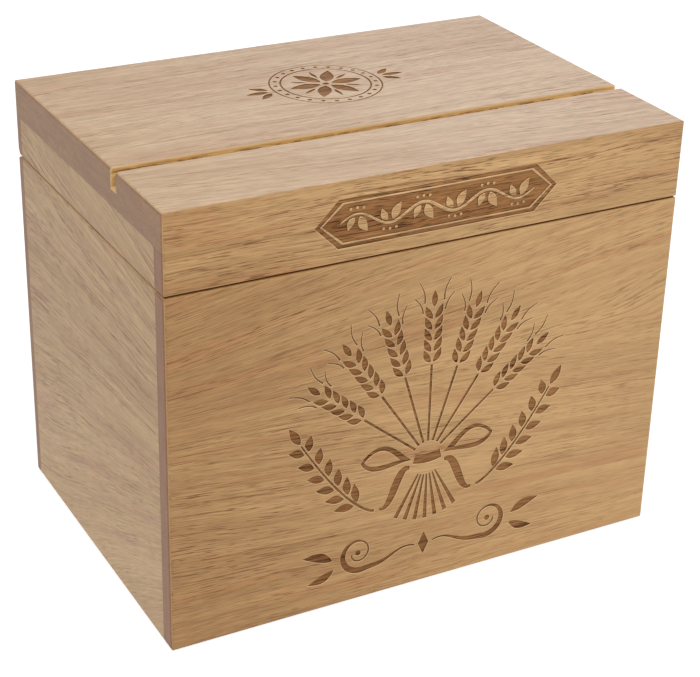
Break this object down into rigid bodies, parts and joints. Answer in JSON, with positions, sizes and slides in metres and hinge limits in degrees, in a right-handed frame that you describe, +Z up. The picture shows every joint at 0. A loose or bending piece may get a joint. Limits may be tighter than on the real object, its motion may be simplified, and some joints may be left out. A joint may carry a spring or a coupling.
{
  "type": "recipe card box",
  "caption": "Wooden recipe card box with a hinged lid, a card slot sawn across the lid's top, rabbeted corners and brass butt hinges let into a bevelled back seam.",
  "frame": {"origin": "on the surface that the box stands on, at the middle of the footprint", "axes": "+Z up, +X to the right along the front, -Y towards the person who faces the front; the hinges are on +Y"},
  "size_m": [0.184, 0.127, 0.152],
  "materials": {
    "lid_board": "satin clear lacquer on pale rubberwood, grain left to right",
    "front_board": "satin clear lacquer on golden rubberwood, grain left to right",
    "back_board": "satin clear lacquer on rubberwood, grain left to right",
    "side_board": "satin clear lacquer on rubberwood, grain front to back",
    "bottom_board": "sanded pale plywood",
    "hinge_brass": "rolled and brushed",
    "pin_brass": "drawn wire",
    "screw_brass": "turned"
  },
  "bodies": {
    "base": {"box_front": "front_board", "box_back": "back_board", "box_left": "side_board", "box_right": "side_board", "bottom_panel": "bottom_board", "left_hinge_box_leaf": "hinge_brass", "right_hinge_box_leaf": "hinge_brass", "left_hinge_pin": "pin_brass", "right_hinge_pin": "pin_brass", "left_box_screws": "screw_brass", "right_box_screws": "screw_brass"},
    "lid": {"lid_top": "lid_board", "lid_front": "front_board", "lid_back": "back_board", "lid_left": "side_board", "lid_right": "side_board", "left_hinge_lid_leaf": "hinge_brass", "right_hinge_lid_leaf": "hinge_brass", "left_lid_screws": "screw_brass", "right_lid_screws": "screw_brass"}
  },
  "joints": [
    {"name": "lid_hinge", "type": "hinge", "parent": "base", "child": "lid", "pos_m": [0, 0.0613, 0.1254], "axis": [-1, 0, 0], "range_deg": [0, 95]}
  ]
}
